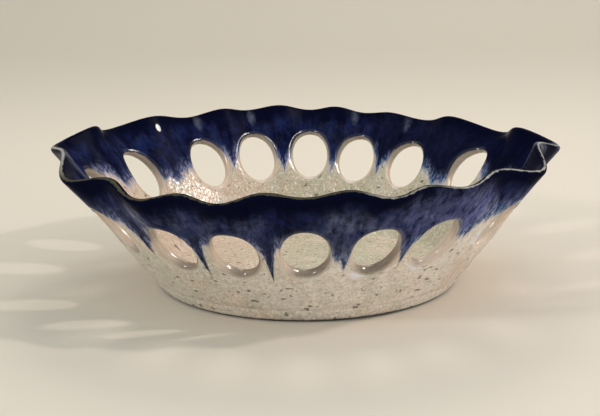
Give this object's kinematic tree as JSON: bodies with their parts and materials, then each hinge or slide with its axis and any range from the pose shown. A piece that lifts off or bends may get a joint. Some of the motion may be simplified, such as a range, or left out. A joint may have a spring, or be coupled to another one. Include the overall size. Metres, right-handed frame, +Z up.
{
  "type": "reticulated bowl",
  "caption": "Round hand-made ceramic bowl with a flat floor, a flared wall pierced by a row of oval openings and a fluted rim, to hold fruit, bread or other dry things.",
  "frame": {"origin": "centre of the flat underside, on the table", "axes": "+Z up out of the mouth, -Y towards the viewer of the picture, +X to that viewer's right"},
  "size_m": [0.2608, 0.256, 0.0753],
  "materials": {
    "cream_glaze": "gloss",
    "cobalt_glaze": "gloss"
  },
  "bodies": {
    "root": {"floor_slab": "cream_glaze", "pierced_wall": "cobalt_glaze"}
  },
  "joints": []
}
